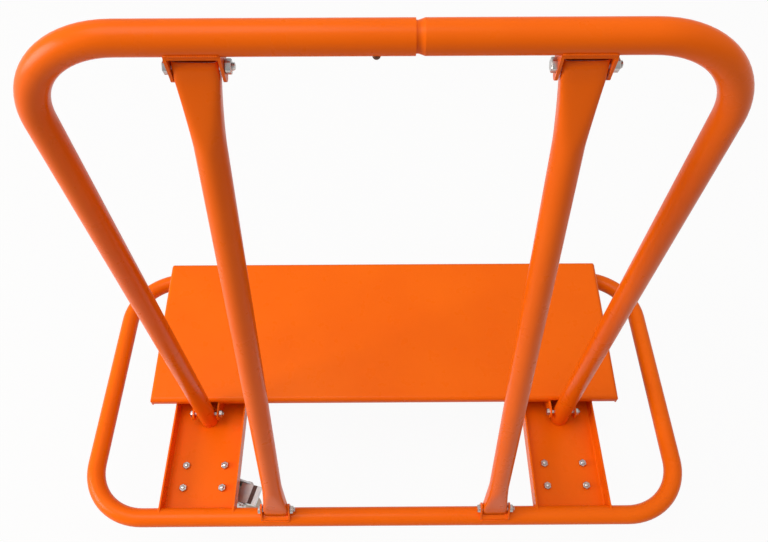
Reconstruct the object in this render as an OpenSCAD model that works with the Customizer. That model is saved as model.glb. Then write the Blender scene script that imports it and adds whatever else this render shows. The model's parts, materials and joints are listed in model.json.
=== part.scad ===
// Drywall cart: a round-tube base loop on four swivel casters, two channels across it,
// a tilted sheet deck, a two-piece tube handle and two struts, all bolted together.

/* [Base loop] */
// Overall length of the base
base_l = 1150; // [1000:10:1400]
// Overall depth of the base, rear rail to front rail
base_w = 576; // [540:2:700]
// Outside diameter of the base tube
base_tube = 34; // [30:1:40]
// Wall of the base tube
base_wall = 2; // [1.5:0.5:3]
// Bend radius of the base corners at the tube's centreline
base_bend_r = 106; // [60:2:140]

/* [Channels] */
// Distance of each channel and its casters from the end rail's centreline
channel_inset = 208; // [160:2:260]
// Width over the flanges
channel_w = 140; // [130:2:180]
// Height of the flanges
channel_h = 34; // [20:1:36]
// Sheet thickness of the channels
channel_t = 3; // [2:0.5:4]
// Outside bend radius of the channels
channel_bend_r = 6; // [5:0.5:9]

/* [Deck] */
// Distance of each deck end inside the base's end
deck_inset = 107.5; // [70:0.5:140]
// Depth of the deck
deck_w = 322; // [280:2:340]
// Sheet thickness of the deck
deck_t = 2; // [1.5:0.5:3]
// Depth of the turned-down lip
deck_lip = 20; // [14:1:28]
// Radius of the deck's front corners in plan
deck_corner_r = 12; // [11:1:20]
// Inside radius of the deck's rear corners in plan
deck_fold_r = 1; // [0.5:0.5:3]
// Bend radius between top and lip
deck_edge_r = 8; // [6:0.5:10]
// Height of the rear lip's edge above the edges of the end lips
deck_rear_trim = 5; // [2:1:8]
// Tilt of the deck, rear edge lower
deck_tilt = 5; // [2:0.5:6]
// Height of the deck's rear top edge above the base tube's centreline
deck_rise = 43; // [42:1:60]
// Gap between the legs and the deck's rear edge
deck_leg_gap = 3; // [2:0.5:8]

/* [Deck bearers] */
// Sheet thickness of the bearers and their ears
bearer_t = 3; // [2:0.5:4]
// Clear width between the ears
bearer_gap = 45; // [42:1:52]
// Radius of the ear round the leg bolt
bearer_ear_r = 12; // [10:0.5:15]
// Distance of the bearer's front end from the deck's front edge
bearer_front_inset = 40; // [30:5:80]
// Distance of the bearer's standing edge in front of the leg bolt
bearer_foot_inset = 34; // [30:1:60]

/* [Handle] */
// Outside diameter of the handle tube
handle_tube = 34; // [30:1:38]
// Wall of the handle tube
handle_wall = 2; // [1.5:0.5:3]
// Distance from the leg bolt to the top bar along the leg
handle_rise = 957; // [850:1:1050]
// Backward lean of the legs
handle_lean = 5.5; // [3:0.5:8]
// Bend radius at the top corners
handle_bend_r = 107; // [70:1:140]
// Distance of each leg outside its channel's middle
leg_offset = 5; // [0:0.5:8]
// Distance of the leg bolts in front of the rear rail's centreline
leg_setback = 200; // [190:1:220]
// Height of the leg bolts above the base tube's centreline
leg_bolt_rise = 22; // [18:1:26]
// Place of the slip joint to the right of the middle
slip_x = 30; // [0:1:80]
// Visible gap between the two halves of the top bar
slip_gap = 2.5; // [0.5:0.5:4]
// Length of the swaged taper on the right half
swage_l = 6; // [2:0.5:8]
// Length of the spigot inside the left half
spigot_l = 70; // [55:1:100]

/* [Snap button] */
// Diameter of the button
button_d = 8; // [6:0.5:10]
// How far the button stands proud of the tube
button_proud = 3.5; // [2:0.5:5]
// Distance of the button from the left half's end
button_inset = 36; // [28:1:45]
// Turn of the button from straight down towards the rear
button_angle = 32; // [0:2:60]
// Width of the leaf spring behind the button
spring_w = 9; // [6:1:12]
// Thickness of the leaf spring
spring_t = 0.8; // [0.5:0.1:1.2]
// Length of the folded leaf spring
spring_l = 30; // [24:1:36]

/* [Struts] */
// Distance of each strut's foot inside its leg
strut_foot_inset = 154; // [150:1:170]
// Distance of each strut's top inside its leg
strut_top_inset = 173; // [160:1:190]
// Shift of both strut tops to the right
strut_shift = 6; // [0:0.5:10]
// Outside diameter of the strut tube
strut_tube = 34; // [30:1:38]
// Wall of the strut tube
strut_wall = 2; // [1.5:0.5:3]
// Width of the flattened ends
strut_flat_w = 44; // [40:1:48]
// Thickness of the flattened ends
strut_flat_t = 17; // [15:0.5:22]
// Length of the flattened stretch
strut_flat_l = 26; // [24:1:40]
// Length of the flare from the round tube to the flat
strut_flare_l = 52; // [40:1:120]
// Distance from the strut's end to its bolt
strut_end = 8.5; // [8:0.5:16]

/* [Strut brackets] */
// Sheet thickness of the brackets
bracket_t = 3; // [2:0.5:4]
// Clear width between the bracket's ears
bracket_gap = 47; // [45:0.5:52]
// Gap between the strut's end and the bracket's web
bracket_clear = 1; // [1:0.5:4]
// Radius of the ear's tip
bracket_tip_r = 6; // [5:0.5:10]
// Distance of the ear's tip centre past the bolt
bracket_tip_l = 10; // [6:1:16]
// Width of the bracket's web round the tube
bracket_web_w = 27; // [22:1:32]

/* [Bolts] */
// Thread diameter of the bolts
bolt_d = 8; // [6:1:10]
// Width across the flats of heads and nuts
bolt_flats = 13; // [12:0.5:17]
// Height of a bolt head
bolt_head_h = 5.3; // [4:0.1:7]
// Height of a nut
nut_h = 6.5; // [5:0.1:9]
// Bolt end showing past its nut
bolt_end = 3; // [1:0.5:6]
// Radial clearance of a bolt in its hole
bolt_clear = 0.2; // [0.1:0.05:0.3]

/* [Casters] */
// Distance of each caster from its rail's centreline
caster_inset = 83; // [75:1:110]
// Trail of the wheel behind the swivel
caster_trail = 38; // [30:1:45]
// Long spacing of the plate bolts
plate_bolts_l = 75; // [72:1:90]
// Short spacing of the plate bolts
plate_bolts_w = 45; // [45:1:60]
// Margin of the plate round its bolts
plate_margin = 11; // [10:0.5:15]
// Thickness of the top plate
plate_t = 4; // [3:0.5:6]
// Corner radius of the top plate
plate_corner_r = 8; // [4:1:10]
// Turn of the rear left caster
rear_left_angle = -15.6; // [-180:0.1:180]
// Turn of the rear right caster
rear_right_angle = 90; // [-180:0.1:180]
// Turn of the front left caster
front_left_angle = -84; // [-180:0.1:180]
// Turn of the front right caster
front_right_angle = -97; // [-180:0.1:180]

/* [Swivel] */
// Diameter of the kingpin
kingpin_d = 12; // [10:0.5:14]
// Diameter of the kingpin's head
kingpin_head_d = 24; // [18:1:26]
// Height of the kingpin's head
kingpin_head_h = 5; // [3:0.5:7]
// Diameter of a race ball
ball_d = 6; // [5:0.5:7]
// Diameter of the circle that the balls run on
ball_circle = 42; // [38:1:46]
// Number of balls
ball_count = 16; // [10:1:18]
// Clearance of a ball in its race
ball_clear = 0.2; // [0.15:0.05:0.3]
// Radial wall of a race outside the ball circle
race_wall = 7; // [6:0.5:8]
// Depth of each race
race_h = 5; // [4.5:0.5:6]
// Gap between the two races
race_gap = 1; // [0.6:0.1:2]

/* [Fork] */
// Clear width between the fork legs
fork_gap = 40; // [38:1:46]
// Sheet thickness of the fork
fork_t = 3.5; // [2.5:0.5:5]
// Reach of the fork's crown in front of the swivel
fork_back = 29; // [28:1:36]
// Reach of the fork's crown behind the swivel
fork_reach = 33; // [28:1:40]
// Gap between the wheel and the fork's crown
wheel_gap = 11.5; // [9:0.5:20]
// Radius of the fork round the axle
fork_boss_r = 13; // [11:0.5:17]

/* [Wheel] */
// Diameter of the wheel
wheel_d = 125; // [100:1:130]
// Width of the tread
tread_w = 32; // [26:1:34]
// Depth of the tread round the core
tread_depth = 14; // [8:1:18]
// Edge radius of the tread
tread_edge_r = 6; // [3:0.5:8]
// Diameter of the hub
hub_d = 32; // [26:1:38]
// Thickness of the core's web
core_web = 7; // [5:0.5:12]
// Thickness of the core's rim
core_rim = 5; // [4:0.5:7]
// Number of ribs on each side of the core
core_ribs = 8; // [4:1:12]
// Thickness of a rib
core_rib_t = 3; // [2:0.5:5]
// Outside diameter of the bush
bush_d = 13; // [12:0.5:16]
// Side clearance of the hub between the fork legs
hub_clear = 0.3; // [0.2:0.1:0.6]
// Radial running clearance of pins and bushes
run_clear = 0.05; // [0.02:0.01:0.09]

/* [Brake] */
// Distance of the brake pin's centre from the wheel
brake_pin_gap = 9.9; // [9:0.1:12]
// Angle of the brake pin behind the axle, up from level
brake_pin_angle = 54.5; // [52:0.5:57]
// Diameter of the brake pin
brake_pin_d = 7; // [6:0.5:8]
// Radius of the fork's arm round the brake pin
brake_arm_r = 8; // [7:0.5:9]
// Wall of the pedal's sleeve round the pin
brake_sleeve_wall = 2; // [1.5:0.5:2.5]
// Travel of the pedal from free to locked
brake_travel_angle = 25; // [15:1:30]
// Gap left between the shoe and the tread when locked
brake_shoe_gap = 0.3; // [0.2:0.1:0.5]
// Radius of the shoe's nose
brake_nose_r = 3; // [2:0.5:3.5]
// Sheet thickness of the pedal
pedal_t = 2; // [1.5:0.5:3]
// Side clearance of the pedal's cheeks in the fork
pedal_clear = 1; // [0.5:0.1:2]
// Reach of the pedal's tread plate behind its pin
pedal_reach = 28; // [20:1:34]
// Reach of the pedal's tread plate in front of its pin
pedal_heel = 12; // [8:1:16]
// Height of the pedal's tread plate above its pin
pedal_h = 9; // [8:0.5:11]
// Depth of the pedal's turned-down end
pedal_lip = 7; // [4:0.5:9]
// Upward slope of the free pedal
pedal_slope_angle = 4; // [0:1:12]
// Width of the groove across the tread plate
pedal_groove_w = 4; // [2:0.5:6]

/* [Hidden] */
// Overrun of every cut past its face
cut = 1;
// Gap left at welded and seated curved faces
seat = 0.2;
$fn = 48;

// Height of a caster from the floor to its plate's top
caster_h = plate_t + 2 * race_h + race_gap + fork_t + wheel_gap + wheel_d;

// Base
base_half_x = (base_l - base_tube) / 2;
base_half_y = (base_w - base_tube) / 2;
base_bore = base_tube - 2 * base_wall;
base_z = caster_h + base_tube / 2;
floor_z = caster_h + channel_t;
rear_y = -base_half_y;
channel_x = base_half_x - channel_inset;

// Handle frame
leg_x = channel_x + leg_offset;
leg_bolt_y = rear_y + leg_setback;
leg_bolt_z = base_z + leg_bolt_rise;
bar_y = leg_bolt_y - handle_rise * sin(handle_lean);
bar_z = leg_bolt_z + handle_rise * cos(handle_lean);
handle_bore = handle_tube - 2 * handle_wall;
leg_drop = (leg_bolt_z - floor_z - seat) / cos(handle_lean) - tan(handle_lean) * handle_tube / 2;
leg_l = leg_drop + handle_rise - handle_bend_r;
corner_x = leg_x - handle_bend_r;
spigot_d = handle_bore - seat;
spigot_bore = spigot_d - 2 * handle_wall;
left_end_x = slip_x - slip_gap / 2;
right_end_x = slip_x + slip_gap / 2;
button_x = left_end_x - button_inset;
flange_r = button_d / 2 + spring_t;
flange_z = sqrt(pow(spigot_bore / 2 - seat, 2) - flange_r * flange_r) - spring_t;

// Deck
deck_l = base_l - 2 * deck_inset;
deck_z = base_z + deck_rise;
leg_front = handle_tube / 2 / cos(handle_lean);
deck_y = leg_bolt_y - tan(handle_lean) * (deck_z - leg_bolt_z) + leg_front + deck_leg_gap;
bearer_w = bearer_gap + 2 * bearer_t;
bearer_end = deck_w - bearer_front_inset;
notch_w = bearer_w + 2 * seat;
relief_y = base_half_y - caster_inset - plate_bolts_w / 2 - bolt_flats;
relief_z = floor_z + nut_h + 2 * bolt_end;

// Struts, along the line from the rear rail's centre to the top bar's centre
strut_foot_x = leg_x - strut_foot_inset;
strut_top_x = leg_x - strut_top_inset;
strut_lean = atan2(bar_y - rear_y, bar_z - base_z);
bracket_span = norm([bar_y - rear_y, bar_z - base_z]);
foot_web_r = base_tube / 2 + seat;
top_web_r = handle_tube / 2 + seat;
foot_bolt = foot_web_r + bracket_t + bracket_clear + strut_end;
top_bolt = top_web_r + bracket_t + bracket_clear + strut_end;
strut_low = foot_bolt - strut_end;
bracket_w = bracket_gap + 2 * bracket_t;

// Bolts
bolt_hole = bolt_d + 2 * bolt_clear;
hex_d = bolt_flats / cos(30);

// Casters, measured down from the plate's top and back from the swivel
plate_l = plate_bolts_l + 2 * plate_margin;
plate_w = plate_bolts_w + 2 * plate_margin;
race_r = ball_circle / 2 + race_wall;
ball_z = -plate_t - race_h - race_gap / 2;
crown_z = ball_z - race_gap / 2 - race_h;
crown_under_z = crown_z - fork_t;
axle_z = wheel_d / 2 - caster_h;
fork_half = fork_gap / 2;
fork_w = fork_gap + 2 * fork_t;
hub_l = fork_gap - 2 * hub_clear;
core_d = wheel_d - 2 * tread_depth;
core_bore = bush_d + 2 * run_clear;
bush_bore = bolt_d + 2 * bolt_clear;
brake_pin_r = wheel_d / 2 + brake_pin_gap;
brake_x = caster_trail + brake_pin_r * cos(brake_pin_angle);
brake_z = axle_z + brake_pin_r * sin(brake_pin_angle);
sleeve_r = brake_pin_d / 2 + run_clear + brake_sleeve_wall;
shoe_reach = brake_pin_gap - brake_shoe_gap;
shoe_angle = brake_pin_angle + brake_travel_angle - 180;
cheek_y = fork_half - pedal_clear;
CASTERS = ["rear_left", "rear_right", "front_left", "front_right"];
CASTER_SIDES = [[-1, -1], [1, -1], [-1, 1], [1, 1]];
CASTER_ANGLES = [rear_left_angle, rear_right_angle, front_left_angle, front_right_angle];

// Finishes
paint = "darkorange";
zinc = "silver";
cream = "wheat";

// A straight bar along X, starting at the origin
module x_bar(d, l) {
    rotate([0, 90, 0])
        cylinder(h = l, d = d);
}

// A straight bar along Y, starting at the origin
module y_bar(d, l) {
    rotate([-90, 0, 0])
        cylinder(h = l, d = d);
}

// A plate in the YZ plane, from an outline of [y, z] points, thickened along +X
module yz_plate(t) {
    rotate([90, 0, 90])
        linear_extrude(t)
            children();
}

// A plate in the XZ plane, thickened both ways along Y
module xz_plate(t) {
    rotate([90, 0, 0])
        linear_extrude(t, center = true)
            children();
}

// A rectangle with round corners, centred
module round_rect(l, w, r) {
    square([l - 2 * r, w], center = true);
    square([l, w - 2 * r], center = true);
    for (sx = [-1, 1], sy = [-1, 1])
        translate([sx * (l / 2 - r), sy * (w / 2 - r)])
            circle(r);
}

// A rectangle with corners of radius r at its front and q at its rear, centred
module uneven_rect(l, w, r, q) {
    translate([-l / 2, q - w / 2])
        square([l, w - r - q]);
    translate([r - l / 2, w / 2 - r])
        square([l - 2 * r, r]);
    translate([q - l / 2, -w / 2])
        square([l - 2 * q, q]);
    for (s = [-1, 1]) {
        translate([s * (l / 2 - r), w / 2 - r])
            circle(r);
        translate([s * (l / 2 - q), q - w / 2])
            circle(q);
    }
}

// A block with its top on the XY plane, bends of radius e round its top and, in plan,
// corners of radius r at its front and q at its rear
module folded_block(l, w, h, r, q, e) {
    intersection() {
        rotate([90, 0, 90])
            linear_extrude(l, center = true)
                mirror([0, 1])
                    round_bottom(w, h, e);
        rotate([90, 0, 0])
            linear_extrude(w, center = true)
                mirror([0, 1])
                    round_bottom(l, h, e);
        translate([0, 0, -h])
            linear_extrude(h)
                uneven_rect(l, w, r, q);
    }
}

// A U-shaped section with round bends, its web on the X axis and its flanges up
module u_section(w, h, t, r) {
    difference() {
        round_bottom(w, h, r);
        translate([0, t])
            round_bottom(w - 2 * t, h, r - t);
    }
}

// A rectangle whose two lower corners are round, its foot on the X axis
module round_bottom(w, h, r) {
    translate([-w / 2, r])
        square([w, h - r]);
    translate([r - w / 2, 0])
        square([w - 2 * r, r]);
    for (s = [-1, 1])
        translate([s * (w / 2 - r), r])
            circle(r);
}

// Two hex heads or nuts and the shank between them share this six-sided block along X
module hex_x(h) {
    rotate([0, 90, 0])
        cylinder(h = h, d = hex_d, $fn = 6);
}

// A hex bolt along X: head outside the span on the -X side, shank through span and nut
module cross_bolt(span) {
    translate([-span / 2 - bolt_head_h, 0, 0])
        hex_x(bolt_head_h);
    translate([-span / 2, 0, 0])
        x_bar(bolt_d, span + nut_h + bolt_end);
}

// The nut of a cross bolt, on the +X side of the span
module cross_nut(span) {
    translate([span / 2, 0, 0])
        difference() {
            hex_x(nut_h);
            translate([-cut, 0, 0])
                x_bar(bolt_d + run_clear, nut_h + 2 * cut);
        }
}

// The closed path of the base loop as a solid of one diameter
module base_path(d) {
    for (s = [-1, 1]) {
        translate([base_bend_r - base_half_x, s * base_half_y, base_z])
            x_bar(d, 2 * (base_half_x - base_bend_r));
        translate([s * base_half_x, base_bend_r - base_half_y, base_z])
            y_bar(d, 2 * (base_half_y - base_bend_r));
    }
    for (q = [0:3])
        translate([
            (q == 0 || q == 3 ? 1 : -1) * (base_half_x - base_bend_r),
            (q < 2 ? 1 : -1) * (base_half_y - base_bend_r),
            base_z
        ])
            rotate(90 * q)
                rotate_extrude(angle = 90)
                    translate([base_bend_r, 0])
                        circle(d = d);
}

module base_loop() {
    color(paint)
        difference() {
            base_path(base_tube);
            base_path(base_bore);
        }
}

// The four bolt places of a caster plate
module at_plate_bolts() {
    for (sx = [-1, 1], sy = [-1, 1])
        translate([sx * plate_bolts_l / 2, sy * plate_bolts_w / 2, 0])
            children();
}

// Places a caster by its number; turned along its trail when asked
module at_caster(i, turned = true) {
    translate([
        CASTER_SIDES[i][0] * channel_x,
        CASTER_SIDES[i][1] * (base_half_y - caster_inset),
        caster_h
    ])
        rotate(turned ? CASTER_ANGLES[i] : 0)
            children();
}

// A channel between the rails, coped to both of them and drilled for two casters
module channel(side) {
    color(paint)
        difference() {
            translate([side * channel_x, base_half_y, caster_h])
                rotate([90, 0, 0])
                    linear_extrude(2 * base_half_y)
                        u_section(channel_w, channel_h, channel_t, channel_bend_r);
            for (s = [-1, 1])
                translate([-base_half_x, s * base_half_y, base_z])
                    x_bar(base_tube + 2 * seat, 2 * base_half_x);
            for (i = [0:3])
                if (CASTER_SIDES[i][0] == side)
                    at_caster(i, false)
                        at_plate_bolts()
                            translate([0, 0, -cut])
                                cylinder(h = channel_t + 2 * cut, d = bolt_hole);
        }
}

module left_channel() {
    channel(-1);
}

module right_channel() {
    channel(1);
}

// The deck's own frame: X along it, Y from its rear edge forward, Z out of its top
module at_deck() {
    translate([0, deck_y, deck_z])
        rotate([deck_tilt, 0, 0])
            children();
}

module deck() {
    color(paint)
        difference() {
            at_deck()
                translate([0, deck_w / 2, 0])
                    difference() {
                        folded_block(deck_l, deck_w, deck_lip, deck_corner_r,
                            deck_fold_r + deck_t, deck_edge_r);
                        translate([0, 0, -deck_t])
                            folded_block(deck_l - 2 * deck_t, deck_w - 2 * deck_t, deck_lip,
                                deck_corner_r - deck_t, deck_fold_r, deck_edge_r - deck_t);
                    }
            for (s = [-1, 1])
                at_deck()
                    translate([s * leg_x - notch_w / 2, -cut, -deck_lip - cut])
                        cube([notch_w, deck_edge_r + cut, deck_lip + cut - deck_edge_r]);
            at_deck()
                translate([2 * deck_t - deck_l / 2, -2 * cut, -deck_lip - 2 * cut])
                    cube([deck_l - 4 * deck_t, 2 * deck_t + 2 * cut, deck_rear_trim + 2 * cut]);
        }
}

// Height of the deck's underside at a depth y
function deck_under(y) = deck_z + (y - deck_y) * tan(deck_tilt) - deck_t / cos(deck_tilt);

// Side outline of a bearer: an ear round the leg bolt, the sloping top, the standing edge
// and a relief over the nuts of the front caster
module bearer_side() {
    ear_top_y = deck_y + deck_edge_r + deck_t;
    end_y = deck_y + bearer_end * cos(deck_tilt);
    difference() {
        union() {
            translate([leg_bolt_y, leg_bolt_z])
                circle(bearer_ear_r);
            polygon([
                [leg_bolt_y, leg_bolt_z - bearer_ear_r],
                [leg_bolt_y + bearer_foot_inset, floor_z],
                [relief_y, floor_z],
                [relief_y, relief_z],
                [end_y, relief_z],
                [end_y, deck_under(end_y)],
                [ear_top_y, deck_under(ear_top_y)],
                [ear_top_y, deck_z - deck_edge_r - deck_t],
                [leg_bolt_y, leg_bolt_z + bearer_ear_r]
            ]);
        }
        translate([leg_bolt_y, leg_bolt_z])
            circle(d = bolt_hole);
    }
}

// An upside-down U that stands in a channel, carries the deck and holds a leg between its ears
module deck_bearer(side) {
    color(paint)
        translate([side * leg_x, 0, 0]) {
            for (s = [-1, 1])
                translate([s * (bearer_gap + bearer_t) / 2 - bearer_t / 2, 0, 0])
                    yz_plate(bearer_t)
                        bearer_side();
            intersection() {
                at_deck()
                    translate([-bearer_w / 2, 2 * deck_edge_r, -deck_t - bearer_t])
                        cube([bearer_w, deck_w, bearer_t]);
                translate([-bearer_w / 2, 0, 0])
                    yz_plate(bearer_w)
                        bearer_side();
            }
        }
}

module left_deck_bearer() {
    deck_bearer(-1);
}

module right_deck_bearer() {
    deck_bearer(1);
}

// The handle's own frame: origin between the leg bolts, Z up along the legs
module at_handle() {
    translate([0, leg_bolt_y, leg_bolt_z])
        rotate([handle_lean, 0, 0])
            children();
}

// The frame of a top corner in the handle's own frame: origin on the bend's centre
module at_corner(side) {
    translate([side * corner_x, 0, handle_rise - handle_bend_r])
        children();
}

// A leg and its bend as a hollow tube in its corner's frame, from the foot to the start of the top bar
module leg_tube(side) {
    translate([side * handle_bend_r, 0, -leg_l])
        linear_extrude(leg_l)
            handle_ring();
    rotate([90, 0, side < 0 ? 180 : 0])
        rotate_extrude(angle = 90)
            translate([handle_bend_r, 0])
                handle_ring();
}

// The handle tube in section
module handle_ring() {
    difference() {
        circle(d = handle_tube);
        circle(d = handle_bore);
    }
}

// A tube along the top bar in a corner's frame, revolved from an outline of [radius, x] points
module bar_tube() {
    translate([0, 0, handle_bend_r])
        rotate([0, 90, 0])
            rotate_extrude()
                children();
}

// The bolt hole across the foot of a leg
module leg_bolt_hole(side) {
    translate([side * leg_x - handle_tube, 0, 0])
        x_bar(bolt_hole, 2 * handle_tube);
}

// The button's own frame: origin on the bar's centreline, Z out through the button
module at_button() {
    at_handle()
        translate([button_x, 0, handle_rise])
            rotate([180 - button_angle, 0, 0])
                children();
}

module button_hole() {
    at_button()
        cylinder(h = handle_tube, d = button_d + 2 * seat);
}

module left_handle_tube() {
    color(paint)
        difference() {
            at_handle()
                difference() {
                    at_corner(-1) {
                        leg_tube(-1);
                        bar_tube()
                            translate([handle_bore / 2, 0])
                                square([handle_wall, left_end_x + corner_x]);
                    }
                    leg_bolt_hole(-1);
                }
            button_hole();
        }
}

module right_handle_tube() {
    end_x = right_end_x - corner_x;
    spigot_x = end_x - spigot_l;
    shoulder_x = end_x + swage_l;
    color(paint)
        difference() {
            at_handle()
                difference() {
                    at_corner(1) {
                        leg_tube(1);
                        bar_tube()
                            polygon([
                                [spigot_bore / 2, spigot_x],
                                [spigot_d / 2, spigot_x],
                                [spigot_d / 2, end_x],
                                [handle_tube / 2, shoulder_x],
                                [handle_tube / 2, 0],
                                [handle_bore / 2, 0],
                                [handle_bore / 2, shoulder_x + swage_l],
                                [spigot_bore / 2, shoulder_x]
                            ]);
                    }
                    leg_bolt_hole(1);
                }
            button_hole();
        }
}

// Button with a domed end and a flange inside the spigot
module snap_button() {
    tip_z = handle_tube / 2 + button_proud - button_d / 2;
    color(zinc)
        at_button() {
            intersection() {
                translate([0, 0, flange_z])
                    cylinder(h = handle_tube, r = flange_r);
                rotate([0, 90, 0])
                    cylinder(h = handle_tube, r = spigot_bore / 2 - seat, center = true);
            }
            translate([0, 0, flange_z])
                cylinder(h = tip_z - flange_z, d = button_d);
            translate([0, 0, tip_z])
                sphere(d = button_d);
        }
}

// A leaf folded in a V inside the spigot: one leg under the button's flange, the other on the far wall
module snap_spring() {
    wall_r = spigot_bore / 2 - seat;
    far_z = sqrt(wall_r * wall_r - spring_w * spring_w / 4);
    near_z = flange_z - seat;
    near_lean = atan2(near_z, spring_l);
    far_lean = atan2(far_z, spring_l);
    color("gray")
        at_button()
            translate([flange_r - spring_l, 0, 0])
                xz_plate(spring_w)
                    polygon([
                        [0, 0],
                        [spring_l, near_z],
                        [spring_l, near_z - spring_t / cos(near_lean)],
                        [spring_t / sin(near_lean), 0],
                        [spring_l, spring_t / cos(far_lean) - far_z],
                        [spring_l, -far_z]
                    ]);
}

// Place of a strut's top along the bar, its drift from foot to top, its length and its sideways lean
function top_x(side) = side * strut_top_x + strut_shift;
function strut_drift(side) = top_x(side) - side * strut_foot_x;
function strut_span(side) = norm([strut_drift(side), bracket_span]);
function strut_splay(side) = asin(strut_drift(side) / strut_span(side));
function strut_high(side) = strut_span(side) - top_bolt + strut_end;

// A strut's own frame: origin on the rear rail's centre, Z along the strut to the top bar's centre
module at_strut(side) {
    at_foot(side)
        rotate([0, strut_splay(side), 0])
            children();
}

// A foot bracket's frame: origin on the rear rail's centre, Z towards the strut, X along the rail
module at_foot(side) {
    translate([side * strut_foot_x, rear_y, base_z])
        rotate([-strut_lean, 0, 0])
            children();
}

// A top bracket's frame: origin on the top bar's centre, Z towards the strut, X along the bar
module at_top(side) {
    translate([top_x(side), bar_y, bar_z])
        rotate([180 - strut_lean, 0, 0])
            children();
}

// The obround outline of a flattened end, thinner by twice the inset
module flat_outline(inset) {
    r = strut_flat_t / 2 - inset;
    square([strut_flat_w - strut_flat_t, 2 * r], center = true);
    for (s = [-1, 1])
        translate([s * (strut_flat_w - strut_flat_t) / 2, 0])
            circle(r);
}

// One flattened end with its flare, from the end at the origin up to the round tube
module strut_end_solid(inset, over) {
    translate([0, 0, -over])
        linear_extrude(strut_flat_l + over)
            flat_outline(inset);
    hull() {
        translate([0, 0, strut_flat_l - seat])
            linear_extrude(seat, $fn = 32)
                flat_outline(inset);
        translate([0, 0, strut_flat_l + strut_flare_l])
            cylinder(h = seat, r = strut_tube / 2 - inset, $fn = 32);
    }
}

// A whole strut up to its high end as a solid, thinner by twice the inset and longer by over at both ends
module strut_solid(high, inset, over) {
    round_from = strut_low + strut_flat_l + strut_flare_l;
    round_to = high - strut_flat_l - strut_flare_l;
    translate([0, 0, round_from])
        cylinder(h = round_to - round_from, r = strut_tube / 2 - inset);
    translate([0, 0, strut_low])
        strut_end_solid(inset, over);
    translate([0, 0, high])
        mirror([0, 0, 1])
            strut_end_solid(inset, over);
}

module strut(side) {
    color(paint)
        difference() {
            at_strut(side)
                difference() {
                    strut_solid(strut_high(side), 0, 0);
                    strut_solid(strut_high(side), strut_wall, cut);
                }
            at_foot(side)
                translate([-strut_flat_w, 0, foot_bolt])
                    x_bar(bolt_hole, 2 * strut_flat_w);
            at_top(side)
                translate([-strut_flat_w, 0, top_bolt])
                    x_bar(bolt_hole, 2 * strut_flat_w);
        }
}

module left_strut() {
    strut(-1);
}

module right_strut() {
    strut(1);
}

// Outline of a bracket ear in the YZ plane: wide at the tube, tapering to its tip past the bolt
module ear_outline(web_r, bolt_at, tip) {
    half = bracket_web_w / 2;
    tip_at = bolt_at + bracket_tip_l;
    difference() {
        union() {
            translate([0, tip_at])
                circle(tip);
            polygon([
                [-half, 0],
                [half, 0],
                [half, web_r],
                [tip, tip_at],
                [-tip, tip_at],
                [-half, web_r]
            ]);
        }
        circle(web_r);
        translate([0, bolt_at])
            circle(d = bolt_hole);
    }
}

// A bracket on a tube along X through the origin, its ears towards +Z
module strut_bracket(web_r, bolt_at) {
    for (s = [-1, 1])
        translate([s * (bracket_gap + bracket_t) / 2 - bracket_t / 2, 0, 0])
            yz_plate(bracket_t)
                ear_outline(web_r, bolt_at, bracket_tip_r);
    translate([-bracket_w / 2, 0, 0])
        yz_plate(bracket_w)
            intersection() {
                difference() {
                    circle(web_r + bracket_t);
                    circle(web_r);
                }
                translate([-bracket_web_w / 2, 0])
                    square([bracket_web_w, web_r + bracket_t]);
            }
}

module foot_bracket(side) {
    color(paint)
        at_foot(side)
            strut_bracket(foot_web_r, foot_bolt);
}

module top_bracket(side) {
    color(paint)
        at_top(side)
            strut_bracket(top_web_r, top_bolt);
}

module left_foot_bracket() {
    foot_bracket(-1);
}

module right_foot_bracket() {
    foot_bracket(1);
}

module left_top_bracket() {
    top_bracket(-1);
}

module right_top_bracket() {
    top_bracket(1);
}

// The four bolt places of the struts
module at_strut_bolts() {
    for (side = [-1, 1]) {
        at_foot(side)
            translate([0, 0, foot_bolt])
                children();
        at_top(side)
            translate([0, 0, top_bolt])
                children();
    }
}

module strut_bolts() {
    color(zinc)
        at_strut_bolts()
            cross_bolt(bracket_w);
}

module strut_nuts() {
    color(zinc)
        at_strut_bolts()
            cross_nut(bracket_w);
}

// The two bolt places of the legs
module at_leg_bolts() {
    for (side = [-1, 1])
        at_handle()
            translate([side * leg_x, 0, 0])
                children();
}

module leg_bolts() {
    color(zinc)
        at_leg_bolts()
            cross_bolt(bearer_w);
}

module leg_nuts() {
    color(zinc)
        at_leg_bolts()
            cross_nut(bearer_w);
}

// Bolts up through the caster plates and the channel webs, heads below
module caster_bolts() {
    color(zinc)
        for (i = [0:3])
            at_caster(i, false)
                at_plate_bolts() {
                    translate([0, 0, -plate_t - bolt_head_h])
                        cylinder(h = bolt_head_h, d = hex_d, $fn = 6);
                    translate([0, 0, -plate_t])
                        cylinder(h = plate_t + channel_t + nut_h + bolt_end, d = bolt_d);
                }
}

module caster_nuts() {
    color(zinc)
        for (i = [0:3])
            at_caster(i, false)
                at_plate_bolts()
                    translate([0, 0, channel_t])
                        difference() {
                            cylinder(h = nut_h, d = hex_d, $fn = 6);
                            translate([0, 0, -cut])
                                cylinder(h = nut_h + 2 * cut, d = bolt_d + run_clear);
                        }
}

// The groove that the balls run in, cut out of both races
module ball_groove() {
    translate([0, 0, ball_z])
        rotate_extrude()
            translate([ball_circle / 2, 0])
                circle(ball_d / 2 + ball_clear);
}

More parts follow.
